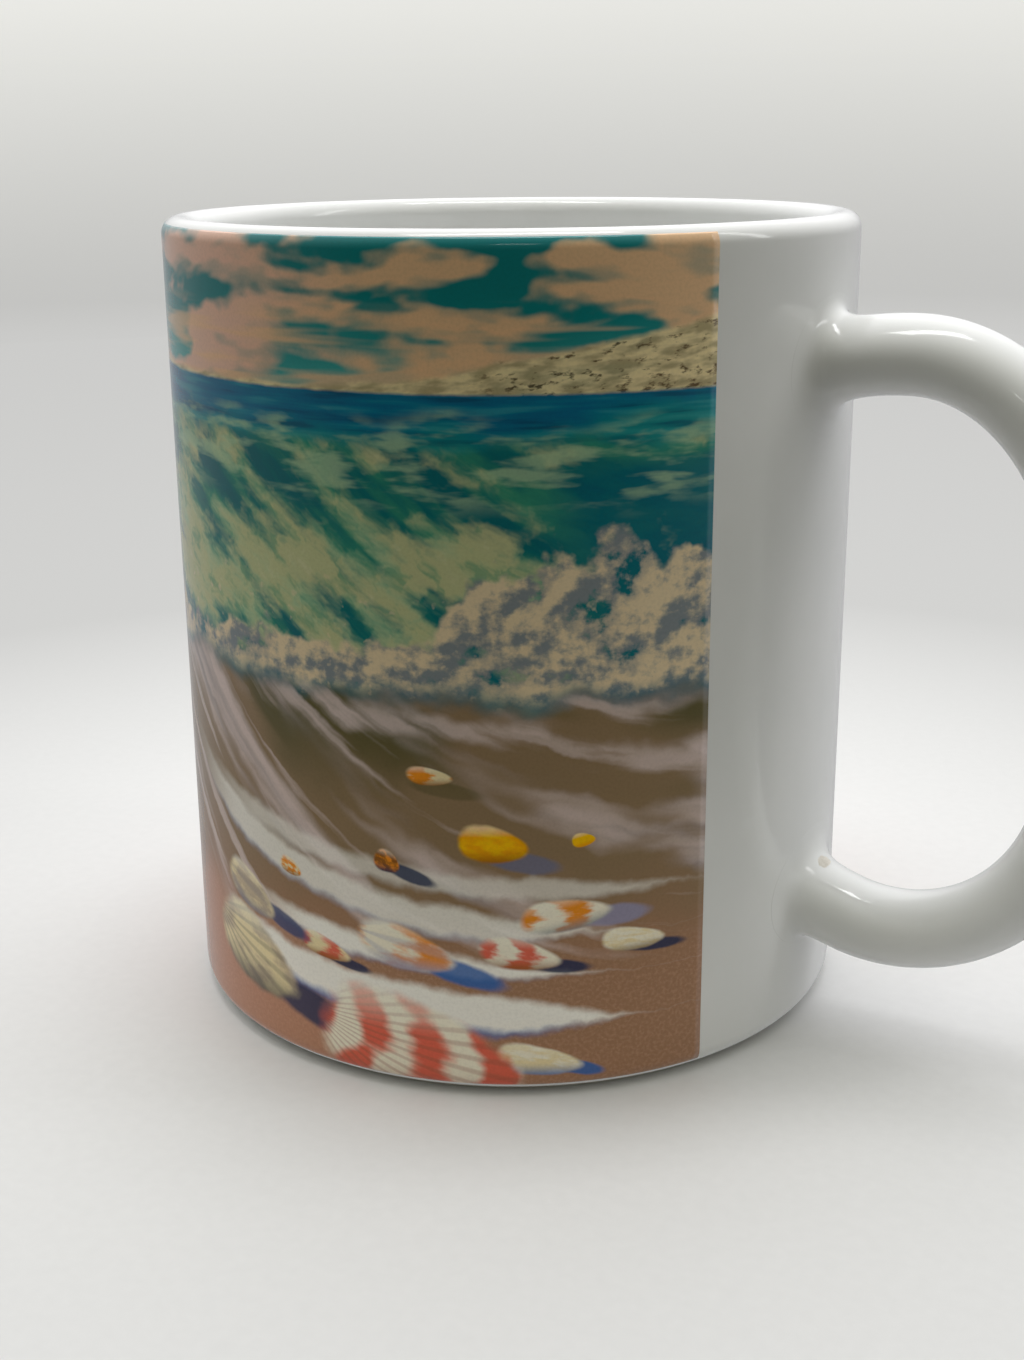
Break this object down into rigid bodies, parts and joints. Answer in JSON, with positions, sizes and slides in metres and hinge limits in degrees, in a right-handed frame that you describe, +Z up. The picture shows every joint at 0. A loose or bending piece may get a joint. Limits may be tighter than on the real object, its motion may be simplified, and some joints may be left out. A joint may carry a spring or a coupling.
{
  "type": "mug",
  "caption": "Straight-sided glazed ceramic mug with a D-shaped handle and a seascape picture wrapped round the outside.",
  "frame": {"origin": "centre of the ring the mug stands on", "axes": "+Z up, +X from the cup's axis towards the handle"},
  "size_m": [0.1169, 0.0822, 0.095],
  "materials": {
    "clay": "matt fired white stoneware, seen only at the foot ring",
    "joint_glaze": "gloss white over the slip at the handle joints",
    "glaze": "gloss white",
    "print": null
  },
  "bodies": {
    "root": {"cup_body": "clay", "handle": "clay", "upper_slip_joint": "joint_glaze", "lower_slip_joint": "joint_glaze", "liner_glaze": "glaze", "outer_glaze": "glaze", "handle_glaze": "glaze", "base_glaze": "glaze", "printed_wrap": "print"}
  },
  "joints": []
}
